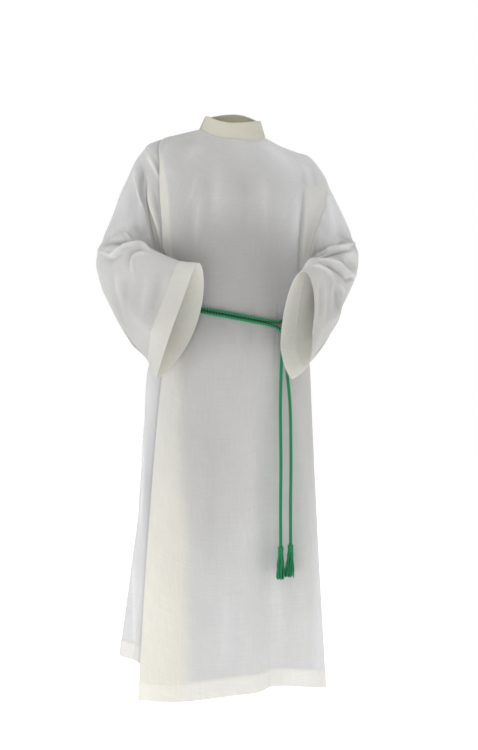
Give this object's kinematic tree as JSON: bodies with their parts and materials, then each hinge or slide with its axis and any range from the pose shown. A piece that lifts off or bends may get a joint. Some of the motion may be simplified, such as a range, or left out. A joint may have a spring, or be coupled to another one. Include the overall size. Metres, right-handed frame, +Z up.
{
  "type": "alb robe",
  "caption": "Full-length wrap-front alb, hollow as if worn, with a stand collar, wide open sleeves and a long cord cincture whose tasselled ends hang free.",
  "frame": {"origin": "centre of the wearer's neck at the height of the shoulders, where the wearer holds the garment up", "axes": "+Z up, +X towards the wearer's left arm, -Y towards the front"},
  "size_m": [0.6516, 0.5744, 1.4461],
  "materials": {
    "white_cloth": "matt slub weave",
    "collar_cloth": "matt slub weave, stiffened",
    "green_cord": "twisted, slight sheen"
  },
  "bodies": {
    "root": {"front_over": "white_cloth", "front_under": "white_cloth", "back": "white_cloth", "sleeve_wearer_right": "white_cloth", "sleeve_wearer_left": "white_cloth", "collar": "collar_cloth", "cincture_waist": "green_cord", "cincture_end_a": "green_cord", "cincture_end_b": "green_cord", "tassel_a": "green_cord", "tassel_b": "green_cord"}
  },
  "joints": []
}
